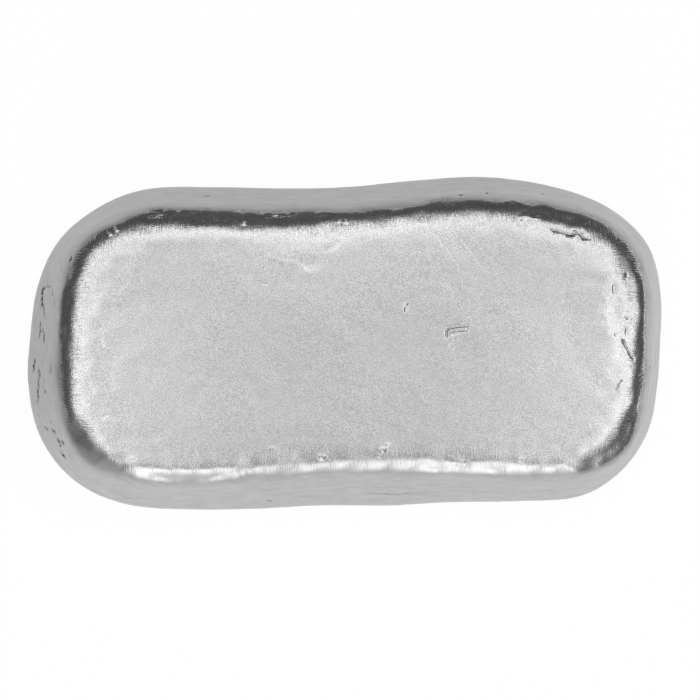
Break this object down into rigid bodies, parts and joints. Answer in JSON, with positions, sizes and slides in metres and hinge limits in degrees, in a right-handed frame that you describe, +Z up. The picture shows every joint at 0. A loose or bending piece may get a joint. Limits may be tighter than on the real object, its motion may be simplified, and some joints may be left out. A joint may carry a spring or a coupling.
{
  "type": "silver bar",
  "caption": "Hand-poured silver bar with an uneven rounded outline, drafted sides and a soft shoulder round a flat mould face, lying on its poured face.",
  "frame": {"origin": "middle of the bar's box, on the plane of the land that the bar rests on", "axes": "+X along the length, towards the end that is on the right in the picture; +Y across the width, towards the back; +Z up, out of the mould face"},
  "size_m": [0.108, 0.0566, 0.0198],
  "materials": {
    "silver": "satin"
  },
  "bodies": {
    "root": {"silver_bar": "silver"}
  },
  "joints": []
}
